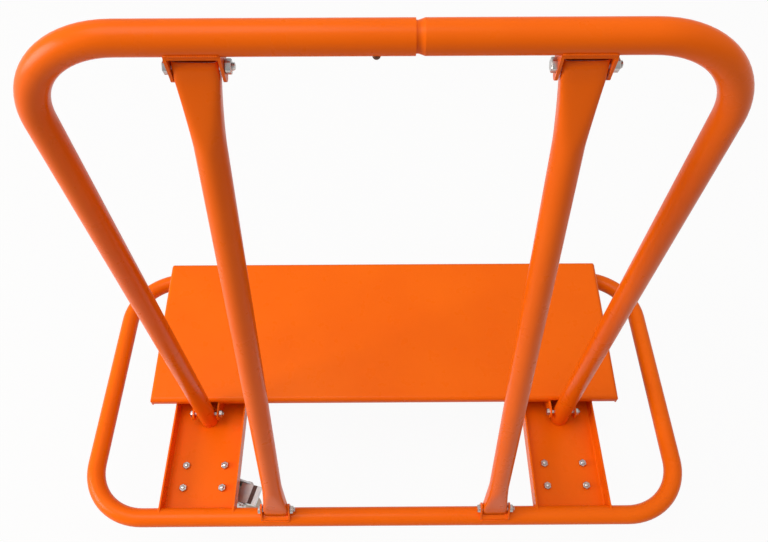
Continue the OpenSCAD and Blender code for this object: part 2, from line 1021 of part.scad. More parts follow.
// Top plate with its upper race
module caster_plate(i) {
    color(zinc)
        at_caster(i, false)
            difference() {
                union() {
                    translate([0, 0, -plate_t])
                        linear_extrude(plate_t)
                            round_rect(plate_l, plate_w, plate_corner_r);
                    translate([0, 0, -plate_t - race_h])
                        cylinder(h = race_h, r = race_r);
                }
                ball_groove();
                translate([0, 0, -plate_t - race_h - cut])
                    cylinder(h = plate_t + race_h + 2 * cut, d = kingpin_d + 2 * run_clear);
                at_plate_bolts()
                    translate([0, 0, -plate_t - cut])
                        cylinder(h = plate_t + 2 * cut, d = bolt_hole);
            }
}

module caster_balls(i) {
    color("gainsboro")
        at_caster(i, false)
            for (n = [0:ball_count - 1])
                rotate(360 * n / ball_count)
                    translate([ball_circle / 2, 0, ball_z])
                        sphere(d = ball_d, $fn = 24);
}

// Kingpin, flush with the plate's top, its head under the fork's crown
module caster_kingpin(i) {
    color(zinc)
        at_caster(i, false) {
            translate([0, 0, crown_under_z - seat])
                cylinder(h = -crown_under_z + seat, d = kingpin_d);
            translate([0, 0, crown_under_z - seat - kingpin_head_h])
                cylinder(h = kingpin_head_h, d1 = kingpin_head_d - kingpin_head_h, d2 = kingpin_head_d);
        }
}

// Side outline of a fork leg, with the arm that holds the brake pin where there is one
module fork_side(braked) {
    difference() {
        union() {
            polygon([
                [-fork_back, crown_z],
                [fork_reach, crown_z],
                [caster_trail + fork_boss_r, axle_z],
                [caster_trail - fork_boss_r, axle_z],
                [-fork_back, crown_under_z - fork_t]
            ]);
            translate([caster_trail, axle_z])
                circle(fork_boss_r);
            if (braked) {
                polygon([
                    [0, crown_z],
                    [fork_reach, crown_z],
                    [brake_x, brake_z + brake_arm_r],
                    [brake_x, brake_z - brake_arm_r],
                    [caster_trail, axle_z + fork_boss_r]
                ]);
                translate([brake_x, brake_z])
                    circle(brake_arm_r);
            }
        }
        translate([caster_trail, axle_z])
            circle(d = bolt_hole);
        if (braked)
            translate([brake_x, brake_z])
                circle(d = brake_pin_d + 2 * run_clear);
    }
}

// Fork with its crown, lower race and two legs
module caster_fork(i, braked) {
    color(zinc)
        at_caster(i)
            difference() {
                union() {
                    translate([0, 0, crown_z])
                        cylinder(h = race_h, r = race_r);
                    translate([-fork_back, -fork_w / 2, crown_under_z])
                        cube([fork_back + fork_reach, fork_w, fork_t]);
                    for (s = [-1, 1])
                        translate([0, s * (fork_half + fork_t / 2), 0])
                            xz_plate(fork_t)
                                fork_side(braked);
                }
                ball_groove();
                translate([0, 0, crown_under_z - cut])
                    cylinder(h = fork_t + race_h + 2 * cut, d = kingpin_d + 2 * run_clear);
            }
}

// Places children on the wheel's axle, Z along the axle
module at_axle(i) {
    at_caster(i)
        translate([caster_trail, 0, axle_z])
            rotate([90, 0, 0])
                children();
}

// Axle bolt through fork and bush, with its nut as a second solid
module caster_axle(i) {
    color(zinc)
        at_axle(i)
            rotate([0, 90, 0]) {
                cross_bolt(fork_w);
                cross_nut(fork_w);
            }
}

module caster_bush(i) {
    color("gray")
        at_axle(i)
            difference() {
                cylinder(h = fork_gap, d = bush_d, center = true);
                cylinder(h = fork_gap + 2 * cut, d = bush_bore, center = true);
            }
}

// Wheel core: hub, web, rim and ribs
module caster_core(i) {
    rim_r = core_d / 2;
    rib_h = tread_w - 2 * core_rib_t;
    color("ivory")
        at_axle(i)
            difference() {
                union() {
                    cylinder(h = hub_l, d = hub_d, center = true);
                    cylinder(h = core_web, r = rim_r, center = true);
                    difference() {
                        cylinder(h = tread_w, r = rim_r, center = true);
                        cylinder(h = tread_w + 2 * cut, r = rim_r - core_rim, center = true);
                    }
                    for (n = [0:core_ribs - 1])
                        rotate(360 * n / core_ribs)
                            translate([hub_d / 4, -core_rib_t / 2, -rib_h / 2])
                                cube([rim_r - core_rim / 2 - hub_d / 4, core_rib_t, rib_h]);
                }
                cylinder(h = hub_l + 2 * cut, d = core_bore, center = true);
            }
}

// Tread moulded round the core
module caster_tread(i) {
    color(cream)
        at_axle(i)
            rotate_extrude()
                difference() {
                    translate([0, -tread_w / 2])
                        square([wheel_d / 2 - tread_edge_r, tread_w]);
                    translate([0, -tread_w / 2 - cut])
                        square([core_d / 2 + run_clear, tread_w + 2 * cut]);
                }
    color(cream)
        at_axle(i)
            rotate_extrude()
                translate([wheel_d / 2 - tread_edge_r, 0])
                    tread_edge();
}

// The rounded running edge of the tread in section
module tread_edge() {
    translate([0, tread_edge_r - tread_w / 2])
        square([tread_edge_r, tread_w - 2 * tread_edge_r]);
    for (s = [-1, 1])
        intersection() {
            translate([0, s * (tread_w / 2 - tread_edge_r)])
                circle(tread_edge_r);
            translate([0, -tread_w / 2])
                square([tread_edge_r, tread_w]);
        }
}

// Brake pin across the fork's arms, with a flat head at both ends
module caster_brake_pin(i) {
    head_h = brake_sleeve_wall;
    color(zinc)
        at_caster(i)
            translate([brake_x, 0, brake_z])
                rotate([90, 0, 0]) {
                    cylinder(h = fork_w, d = brake_pin_d, center = true);
                    for (s = [-1, 1])
                        translate([0, 0, s * (fork_w + head_h) / 2])
                            cylinder(h = head_h, r = sleeve_r, center = true);
                }
}

// Side outline of the pedal's cheeks round the brake pin
module cheek_outline() {
    circle(sleeve_r);
    rotate(pedal_slope_angle)
        polygon([
            [-pedal_heel, pedal_h],
            [-sleeve_r, 0],
            [sleeve_r, 0],
            [pedal_reach, pedal_h - pedal_lip],
            [pedal_reach, pedal_h]
        ]);
}

// Side outline of the shoe: the sleeve and the nose that turns onto the tread
module shoe_outline() {
    circle(sleeve_r);
    rotate(shoe_angle)
        translate([shoe_reach - brake_nose_r, 0])
            circle(brake_nose_r);
    rotate(shoe_angle)
        translate([0, -brake_nose_r])
            square([shoe_reach - brake_nose_r, 2 * brake_nose_r]);
}

// Side outline of the pedal's tread plate, turned down at its end and grooved across
module tread_plate_outline() {
    rotate(pedal_slope_angle)
        difference() {
            union() {
                translate([-pedal_heel, pedal_h - pedal_t])
                    square([pedal_heel + pedal_reach, pedal_t]);
                translate([pedal_reach - pedal_t, pedal_h - pedal_lip])
                    square([pedal_t, pedal_lip]);
            }
            translate([pedal_reach / 2, pedal_h - pedal_t / 2])
                square([pedal_groove_w, pedal_t]);
        }
}

// Pressed pedal: two cheeks, a sleeve with the brake shoe, and the tread plate
module caster_brake_pedal(i) {
    color(zinc)
        at_caster(i)
            translate([brake_x, 0, brake_z])
                difference() {
                    union() {
                        for (s = [-1, 1])
                            translate([0, s * (cheek_y - pedal_t / 2), 0])
                                xz_plate(pedal_t)
                                    cheek_outline();
                        xz_plate(2 * cheek_y - pedal_t)
                            shoe_outline();
                        xz_plate(2 * cheek_y)
                            tread_plate_outline();
                    }
                    rotate([90, 0, 0])
                        cylinder(h = fork_w, d = brake_pin_d + 2 * run_clear, center = true);
                }
}

base_loop();
left_channel();
right_channel();
deck();
left_deck_bearer();
right_deck_bearer();
left_handle_tube();
right_handle_tube();
left_strut();
right_strut();
left_top_bracket();
right_top_bracket();
left_foot_bracket();
right_foot_bracket();
strut_bolts();
strut_nuts();
leg_bolts();
leg_nuts();
caster_bolts();
caster_nuts();
snap_button();
snap_spring();
for (i = [0:3]) {
    caster_plate(i);
    caster_balls(i);
    caster_kingpin(i);
    caster_fork(i, i < 2);
    caster_axle(i);
    caster_bush(i);
    caster_core(i);
    caster_tread(i);
}
for (i = [0:1]) {
    caster_brake_pin(i);
    caster_brake_pedal(i);
}
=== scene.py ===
"""Looks of the drywall cart: finishes, weld beads, bolt threads and a plain studio."""
import json
import logging
import math
from collections.abc import Callable, Sequence
from dataclasses import dataclass, field
from enum import Enum
from itertools import product

import bmesh
import bpy
from mathutils import Matrix, Vector


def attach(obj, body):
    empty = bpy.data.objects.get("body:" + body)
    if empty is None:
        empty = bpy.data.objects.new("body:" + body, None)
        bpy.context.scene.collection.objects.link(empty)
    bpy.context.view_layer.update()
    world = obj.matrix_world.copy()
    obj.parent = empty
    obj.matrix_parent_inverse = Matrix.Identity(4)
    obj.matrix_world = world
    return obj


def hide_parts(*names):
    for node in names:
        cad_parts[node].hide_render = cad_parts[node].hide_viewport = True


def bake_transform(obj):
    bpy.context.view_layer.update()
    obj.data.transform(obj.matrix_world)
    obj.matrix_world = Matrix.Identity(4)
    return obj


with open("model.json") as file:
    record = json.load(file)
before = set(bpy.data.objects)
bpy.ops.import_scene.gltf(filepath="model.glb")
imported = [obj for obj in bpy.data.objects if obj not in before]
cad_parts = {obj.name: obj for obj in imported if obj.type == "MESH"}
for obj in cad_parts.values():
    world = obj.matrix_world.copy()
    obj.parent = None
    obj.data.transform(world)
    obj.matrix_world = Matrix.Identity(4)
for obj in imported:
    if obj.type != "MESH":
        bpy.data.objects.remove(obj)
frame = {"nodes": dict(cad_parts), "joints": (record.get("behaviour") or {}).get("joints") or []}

LOG = logging.getLogger("drywall_cart")
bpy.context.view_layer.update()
MM = 0.001
TO_METRES = Matrix.Scale(MM, 4)
IN_PLACE = Matrix.Identity(4)
UP = Vector((0, 0, 1))
ORIGIN = (0, 0, 0)
MERGE = 1e-6
CART = "cart"
PICTURE_WIDTH = 768
SENSOR_MM = 36.0
TUBE_CREASE, PART_CREASE, HEX_CREASE = 60.0, 40.0, 35.0

Colour = tuple[float, float, float]
Triple = tuple[float, float, float]
Pair = tuple[float, float]
Mesh = bmesh.types.BMesh
Piece = bpy.types.Object
Socket = bpy.types.NodeSocket
Inputs = dict[str | int, Socket | float | tuple[float, ...]]


class Slot(Enum):
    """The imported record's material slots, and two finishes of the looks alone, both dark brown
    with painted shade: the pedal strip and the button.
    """

    ORANGE = "orange_paint"
    FASTENER = "zinc_fasteners"
    PRESSING = "zinc_pressings"
    SPRING = "spring_steel"
    BALL = "ball_steel"
    CORE = "wheel_core"
    TREAD = "cream_tread"
    PEDAL_SHADE = "painted_shade_strip"
    BUTTON = "snap_button"


class Workshop:
    """Turns bmeshes into finished pieces."""

    @staticmethod
    def finish(name: str, bm: Mesh, crease: float = 0.0) -> Piece:
        """Makes an object at the origin from a bmesh.

        Args:
            name: Name of the piece.
            bm: The mesh, in the frame's place; freed here.
            crease: Angle in degrees above which an edge stays sharp, or zero for flat faces.

        Returns:
            The object.
        """
        mesh = bpy.data.meshes.new(name)
        bm.to_mesh(mesh)
        bm.free()
        for face in mesh.polygons:
            face.use_smooth = crease > 0.0
        if crease:
            mesh.set_sharp_from_angle(angle=math.radians(crease))
        piece = bpy.data.objects.new(name, mesh)
        bpy.context.scene.collection.objects.link(piece)
        return piece

    @staticmethod
    def clean(bm: Mesh) -> None:
        """Merges doubles and turns all faces outwards."""
        bmesh.ops.remove_doubles(bm, verts=bm.verts[:], dist=MERGE)
        bmesh.ops.recalc_face_normals(bm, faces=bm.faces[:])

    @staticmethod
    def move(bm: Mesh, matrix: Matrix) -> None:
        """Takes a whole mesh into a frame."""
        bmesh.ops.transform(bm, matrix=matrix, verts=bm.verts[:])

    @staticmethod
    def soften(bm: Mesh, edges: Sequence[bmesh.types.BMEdge], offset: float) -> None:
        """Rounds edges over."""
        bmesh.ops.bevel(bm, geom=edges, offset=offset, segments=2, profile=0.5,
                        affect="EDGES", material=-1)

    @staticmethod
    def add(bm: Mesh, new: Mesh, places: Sequence[Matrix] = (IN_PLACE,)) -> None:
        """Adds a copy of a shape at each place.

        Args:
            bm: Takes the copies.
            new: The shape; freed here.
            places: Frame of each copy.
        """
        mesh = bpy.data.meshes.new("shape")
        new.to_mesh(mesh)
        new.free()
        for place in places:
            copy = mesh.copy()
            copy.transform(place)
            bm.from_mesh(copy)
            bpy.data.meshes.remove(copy)
        bpy.data.meshes.remove(mesh)


@dataclass(frozen=True)
class Grain:
    """A noise pattern, and the bump that it may give.

    Attributes:
        scale: Cells in a metre.
        octaves: Octaves of detail.
        strength: Strength of its bump.
        depth: Depth of its bump, in metres.
    """

    scale: float
    octaves: float = 3.0
    strength: float = 0.0
    depth: float = 0.0


DRAWN = Grain(600.0, 3.0, 0.10, 0.00005)


class Graph:
    """A node tree, filled one node at a time."""

    def __init__(self, owner: bpy.types.Material | bpy.types.World) -> None:
        """Takes the tree of a new material or world, with the nodes that it starts with."""
        owner.use_nodes = True
        self.tree = owner.node_tree

    def feed(self, node: bpy.types.Node, inputs: Inputs) -> None:
        """Links a node's inputs or sets their values.

        Args:
            node: The node.
            inputs: An output or a value for the name or number of each input.
        """
        for name, value in inputs.items():
            if isinstance(value, Socket):
                self.tree.links.new(value, node.inputs[name])
            else:
                node.inputs[name].default_value = value

    def node(self, kind: str, inputs: Inputs | None = None,
             **settings: str | bool) -> bpy.types.Node:
        """Adds a node.

        Args:
            kind: Its kind, without the words that all kinds start with.
            inputs: An output or a value for the name or number of each input.
            settings: Its settings.

        Returns:
            The node.
        """
        node = self.tree.nodes.new(f"ShaderNode{kind}")
        for name, value in settings.items():
            setattr(node, name, value)
        self.feed(node, inputs or {})
        return node

    def noise(self, grain: Grain, place: Socket) -> Socket:
        """The factor of a noise pattern at some coordinates."""
        inputs = {"Vector": place, "Scale": grain.scale, "Detail": grain.octaves}
        return self.node("TexNoise", inputs).outputs[0]

    def span(self, source: Socket, to: tuple[Socket | float, float], start: Pair = (0.3, 0.7),
             **settings: str) -> Socket:
        """Maps a factor from the range where it starts to another one."""
        names = ("Value", "From Min", "From Max", "To Min", "To Max")
        return self.node("MapRange", dict(zip(names, (source, *start, *to))), **settings).outputs[0]

    def ramp(self, source: Socket, places: Sequence[float], colours: Sequence[Colour]) -> Socket:
        """Turns a factor into a colour.

        Args:
            source: The factor.
            places: Place of each stop.
            colours: Colour of each stop.

        Returns:
            The colour output.
        """
        node = self.node("ValToRGB", {"Fac": source})
        ramp = node.color_ramp
        while len(ramp.elements) < len(places):
            ramp.elements.new(0.5)
        for element, place, colour in zip(ramp.elements, places, colours):
            element.position = place
            element.color = (*colour, 1.0)
        return node.outputs["Color"]


@dataclass(frozen=True)
class Finish:
    """A finish with uneven colour and gloss, fine relief and, on some, rolling dirt.

    Attributes:
        name: Name of the material.
        tints: Colours of its patches.
        roughness: Lowest and highest roughness.
        relief: Patterns of its bumps.
        stretch: Scale of all patterns along X, Y and Z.
        dirt: Colour of the dirt, if any.
        spread: Places of the tints in the patches.
        patches: Pattern of the tints.
        gloss: Pattern of the roughness.
        metallic: One for bare metal.
        specular: Level of the gloss.
        grime: Pattern of the dirt.
        grime_range: Factors of that pattern between which the dirt grows.
        dirt_share: Least and most of the dirt.
    """

    name: str
    tints: tuple[Colour, ...]
    roughness: Pair
    relief: tuple[Grain, ...]
    stretch: Triple = (1.0, 1.0, 1.0)
    dirt: Colour | None = None
    spread: tuple[float, ...] = (0.3, 0.7)
    patches: Grain = DRAWN
    gloss: Grain = DRAWN
    metallic: float = 1.0
    specular: float = 0.5
    grime: Grain = Grain(55.0, 5.0)
    grime_range: Pair = (0.52, 0.86)
    dirt_share: Pair = (0.0, 0.25)

    def material(self) -> bpy.types.Material:
        """Builds the finish.

        Returns:
            The material.
        """
        material = bpy.data.materials.new(self.name)
        graph = Graph(material)
        place = graph.node("TexCoord").outputs["Object"]
        place = graph.node("Mapping", {"Vector": place, "Scale": self.stretch}).outputs["Vector"]
        colour = graph.ramp(graph.noise(self.patches, place), self.spread, self.tints)
        if self.dirt:
            share = graph.span(graph.noise(self.grime, place), self.dirt_share, self.grime_range)
            mix = {0: share, 6: colour, 7: (*self.dirt, 1.0)}
            colour = graph.node("Mix", mix, data_type="RGBA").outputs[2]
        bumps = {}
        for grain in self.relief:
            bumps |= {"Height": graph.noise(grain, place), "Strength": grain.strength,
                      "Distance": grain.depth}
            bumps = {"Normal": graph.node("Bump", bumps).outputs["Normal"]}
        rough = graph.span(graph.noise(self.gloss, place), self.roughness)
        graph.feed(graph.tree.nodes["Principled BSDF"], {
            "Base Color": colour, "Roughness": rough, "Metallic": self.metallic,
            "Specular IOR Level": self.specular, **bumps})
        return material


@dataclass(frozen=True)
class PowderCoat(Finish):
    """Baked powder paint with a slight orange peel, on slow waves of the sheet."""

    relief: tuple[Grain, ...] = (Grain(420.0, 2.0, 0.04, 0.0002), Grain(9.0, 1.0, 0.04, 0.0006))
    spread: tuple[float, ...] = (0.30, 0.52, 0.74)
    patches: Grain = Grain(6.0, 4.0)
    gloss: Grain = Grain(38.0)
    metallic: float = 0.0
    specular: float = 0.115


@dataclass(frozen=True)
class ZincPlate(Finish):
    """Bright zinc plating with a faint passivation tint, from bluish to straw."""

    relief: tuple[Grain, ...] = (Grain(900.0, 2.0, 0.18, 0.0001),)
    spread: tuple[float, ...] = (0.25, 0.75)
    patches: Grain = Grain(70.0, 4.0)
    gloss: Grain = Grain(160.0)


@dataclass(frozen=True)
class BrightSteel(Finish):
    """Hardened steel, polished or drawn."""

    relief: tuple[Grain, ...] = (DRAWN,)


@dataclass(frozen=True)
class MouldedPlastic(Finish):
    """Moulded polymer with a fine mould grain and a little rolling dirt."""

    roughness: Pair = (0.42, 0.62)
    relief: tuple[Grain, ...] = (Grain(1300.0, 2.0, 0.22, 0.00012),)
    dirt: Colour | None = (0.22, 0.19, 0.15)
    spread: tuple[float, ...] = (0.35, 0.70)
    patches: Grain = Grain(24.0, 4.0)
    gloss: Grain = Grain(120.0)
    metallic: float = 0.0
    specular: float = 0.4


FINISHES = {
    Slot.ORANGE: PowderCoat("orange_powder_coat", (
        (0.84, 0.119, 0.001), (0.86, 0.127, 0.0012), (0.88, 0.135, 0.0016)), (0.26, 0.33)),
    Slot.FASTENER: ZincPlate("bright_zinc", (
        (0.50, 0.51, 0.53), (0.60, 0.56, 0.50)), (0.22, 0.40)),
    Slot.PRESSING: ZincPlate("pressed_zinc", (
        (0.55, 0.57, 0.60), (0.70, 0.68, 0.63)), (0.28, 0.46), (Grain(700.0, 2.0, 0.18, 0.0001),)),
    Slot.SPRING: BrightSteel("spring_strip", (
        (0.30, 0.31, 0.34), (0.50, 0.51, 0.53)), (0.25, 0.40), stretch=(0.1, 1.0, 1.0)),
    Slot.BALL: BrightSteel("ball_race", (
        (0.50, 0.51, 0.53), (0.72, 0.73, 0.74)), (0.08, 0.20)),
    # Painted shade: the button's dark brown stands for the shade on its underside, not a colour of
    # the steel.
    Slot.BUTTON: BrightSteel("button_painted_shade", (
        (0.09, 0.045, 0.03), (0.14, 0.08, 0.055)), (0.40, 0.55), stretch=(1.0, 1.0, 0.2)),
    Slot.CORE: MouldedPlastic("wheel_core_grey", ((0.40, 0.39, 0.37), (0.47, 0.46, 0.43))),
    Slot.TREAD: MouldedPlastic("cream_tyre", ((0.74, 0.69, 0.56), (0.80, 0.76, 0.64))),
    # Painted shade: the pedal strip's dark brown stands for shade on the pedal, with a little
    # rolling dirt on top.
    Slot.PEDAL_SHADE: MouldedPlastic("pedal_painted_shade", (
        (0.085, 0.040, 0.030), (0.12, 0.06, 0.045)), dirt=(0.03, 0.02, 0.02)),
}
ENDINGS = {
    Slot.TREAD: ("_tread",),
    Slot.CORE: ("_core",),
    Slot.BALL: ("_balls",),
    Slot.SPRING: ("_spring", "_bush"),
    Slot.FASTENER: ("_bolts", "_nuts", "_axle"),
    Slot.PRESSING: ("_kingpin", "_pin", "_plate", "_fork", "_pedal"),
    Slot.BUTTON: ("_button",),
}


@dataclass
class Paintshop:
    """Makes each finish once and puts it on solids and pieces.

    Attributes:
        made: Materials made so far.
    """

    made: dict[Slot, bpy.types.Material] = field(default_factory=dict)

    def coat(self, piece: Piece, slot: Slot) -> None:
        """Gives a piece one finish.

        Args:
            piece: The piece.
            slot: The finish's slot.
        """
        if slot not in self.made:
            self.made[slot] = FINISHES[slot].material()
        piece.data.materials.clear()
        piece.data.materials.append(self.made[slot])

    def dress(self, piece: Piece, slot: Slot, body: str, node: str | None = None) -> None:
        """Finishes a new piece and puts it on its body.

        Args:
            piece: The piece.
            slot: The finish's slot.
            body: The body that it rides on.
            node: The solid that it stands for, if any.
        """
        self.coat(piece, slot)
        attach(piece, body)
        if node:
            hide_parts(node)
        LOG.info("piece %s: %s on %s", piece.name, slot.value, body)

    def coat_solids(self, nodes: dict[str, Piece]) -> None:
        """Gives every solid of the frame its finish: paint, unless its name ends otherwise.

        Args:
            nodes: The frame's solids by name.
        """
        for name, solid in nodes.items():
            matches = (slot for slot, endings in ENDINGS.items() if name.endswith(endings))
            slot = next(matches, Slot.ORANGE)
            self.coat(solid, slot)
            LOG.info("solid %s: %s", name, slot.value)


@dataclass(frozen=True)
class CartSizes:
    """Driving sizes of the cart, in millimetres and degrees, and the frames that they give.

    A side is 0 for left and 1 for right, and a frame is in metres.

    Attributes:
        base_half_y: Rail centreline from the middle.
        base_z: Height of the base tube's centre.
        floor_z: Height of the channels' floor.
        tube_r: Radius of the tubes.
        channel_x: Channels from the middle.
        channel_w: Width of a channel.
        leg_x: Legs from the middle.
        leg_bolt: Y and Z of the leg bolts.
        lean: Backward lean of the legs.
        rise: Leg bolt to top bar.
        strut_feet: X of the left and right strut feet.
        strut_tops: X of the left and right strut tops.
        strut_bolt: Strut bolt from a tube's centre.
        strut_grip: What a strut bolt clamps.
        leg_grip: What a leg bolt clamps.
        plate_grip: What a caster bolt clamps.
        plate_bolts: X and Y of the caster bolts from a swivel's axis.
    """

    base_half_y: float = 271.0
    base_z: float = 172.0
    floor_z: float = 158.0
    tube_r: float = 17.0
    channel_x: float = 350.0
    channel_w: float = 140.0
    leg_x: float = 355.0
    leg_bolt: Pair = (-71.0, 194.0)
    lean: float = 5.5
    rise: float = 957.0
    strut_feet: Pair = (-201.0, 201.0)
    strut_tops: Pair = (-176.0, 188.0)
    strut_bolt: float = 29.7
    strut_grip: float = 53.0
    leg_grip: float = 51.0
    plate_grip: float = 7.0
    plate_bolts: Pair = (37.5, 22.5)

    @property
    def bar(self) -> Pair:
        """Y and Z of the top bar's centre."""
        lean, (y, z) = math.radians(self.lean), self.leg_bolt
        return y - self.rise * math.sin(lean), z + self.rise * math.cos(lean)

    @property
    def strut_lean(self) -> float:
        """Forward lean of the struts, in radians."""
        return math.atan2(self.bar[0] + self.base_half_y, self.bar[1] - self.base_z)

    def foot_frame(self, side: int) -> Matrix:
        """Frame of a foot bracket: origin on the rail's centre, Z towards the strut."""
        place = Vector((self.strut_feet[side], -self.base_half_y, self.base_z)) * MM
        return Matrix.Translation(place) @ Matrix.Rotation(-self.strut_lean, 4, "X")

    def top_frame(self, side: int) -> Matrix:
        """Frame of a top bracket: origin on the bar's centre, Z towards the strut."""
        place = Vector((self.strut_tops[side], *self.bar)) * MM
        return Matrix.Translation(place) @ Matrix.Rotation(math.pi - self.strut_lean, 4, "X")

    def leg_frame(self, side: int) -> Matrix:
        """Frame of a leg bolt, X along the bolt."""
        place = Vector(((-1, 1)[side] * self.leg_x, *self.leg_bolt)) * MM
        return Matrix.Translation(place) @ Matrix.Rotation(math.radians(self.lean), 4, "X")

    def strut_frame(self, side: int) -> tuple[Matrix, float]:
        """Frame of a strut and its length between the tubes' centres.

        Args:
            side: 0 for left, 1 for right.

        Returns:
            The frame, Z along the strut, and the length in metres.
        """
        drift = (self.strut_tops[side] - self.strut_feet[side]) * MM
        upright = math.hypot(self.bar[0] + self.base_half_y, self.bar[1] - self.base_z) * MM
        turn = Matrix.Rotation(math.atan2(drift, upright), 4, "Y")
        return self.foot_frame(side) @ turn, math.hypot(drift, upright)


SHOP = Paintshop()
SIDES = ("left", "right")
CASTERS = ("rear_left", "rear_right", "front_left", "front_right")
SIZES = CartSizes()


@dataclass
class FlaredStrut:
    """A round tube whose ends are pressed flat and flare out sideways in a smooth curve.

    Attributes:
        side: 0 for left, 1 for right.
        wall: Wall of the tube.
        flat: Half width and half thickness of the flattened end.
        end: Distance of the end from the tube that it is bolted to.
        flat_l: Length of the flattened stretch.
        flare_l: Length of the flare.
        bends: How late the flare widens and flattens, as powers.
        squareness: How square the flattened end is.
        segments: Points round the tube.
        steps: Rings in a flare.
    """

    side: int
    wall: float = 2.0
    flat: Pair = (22.0, 8.5)
    end: float = 21.2
    flat_l: float = 20.0
    flare_l: float = 80.0
    bends: Pair = (1.9, 1.25)
    squareness: float = 4.0
    segments: int = 64
    steps: int = 14

    def stations(self, length: float) -> list[float]:
        """Places of the rings along the strut.

        Args:
            length: Length between the tubes' centres, in metres.

        Returns:
            The places in metres, from the foot up.
        """
        flare = self.end + self.flat_l
        low = [self.end, self.end + self.flat_l / 2]
        low += [flare + self.flare_l * n / self.steps for n in range(self.steps + 1)]
        low = [place * MM for place in low]
        return low + [length - place for place in reversed(low)]

    def flatness(self, place: float, length: float) -> float:
        """How flat the tube is: one where it is flat, and zero where it is round."""
        along = (min(place, length - place) / MM - self.end - self.flat_l) / self.flare_l
        return 1.0 - min(1.0, max(0.0, along))

    def shape(self, bm: Mesh, length: float) -> None:
        """Presses the ends of a unit tube flat.

        Args:
            bm: A tube of radius one metre.
            length: Length of the strut, in metres.
        """
        for vert in bm.verts:
            flat = self.flatness(vert.co.z, length)
            wide, thin = (flat ** bend for bend in self.bends)
            power = 2.0 / (2.0 + self.squareness * thin)
            half = [SIZES.tube_r + (size - SIZES.tube_r) * share
                    for size, share in zip(self.flat, (wide, thin))]
            vert.co.x, vert.co.y = (math.copysign(abs(value) ** power, value) * size * MM
                                    for value, size in zip(vert.co.xy, half))

    def build(self) -> None:
        """Makes the strut and puts it in the plain solid's place."""
        turn, length = SIZES.strut_frame(self.side)
        bm = bmesh.new()
        places = self.stations(length)
        bmesh.ops.create_circle(bm, segments=self.segments, radius=1.0,
                                matrix=Matrix.Translation((0, 0, places[0])))
        edges = bm.edges[:]
        for low, high in zip(places, places[1:]):
            made = bmesh.ops.extrude_edge_only(bm, edges=edges)["geom"]
            edges = [part for part in made if isinstance(part, bmesh.types.BMEdge)]
            edges = [edge for edge in edges if all(vert in made for vert in edge.verts)]
            verts = [part for part in made if isinstance(part, bmesh.types.BMVert)]
            bmesh.ops.translate(bm, verts=verts, vec=(0, 0, high - low))
        self.shape(bm, length)
        bmesh.ops.recalc_face_normals(bm, faces=bm.faces[:])
        Workshop.move(bm, turn)
        name = f"{SIDES[self.side]}_strut"
        piece = Workshop.finish(f"{name}_flared", bm, TUBE_CREASE)
        wall = piece.modifiers.new("wall", "SOLIDIFY")
        wall.thickness, wall.offset = self.wall * MM, -1.0
        SHOP.dress(piece, Slot.ORANGE, CART, name)


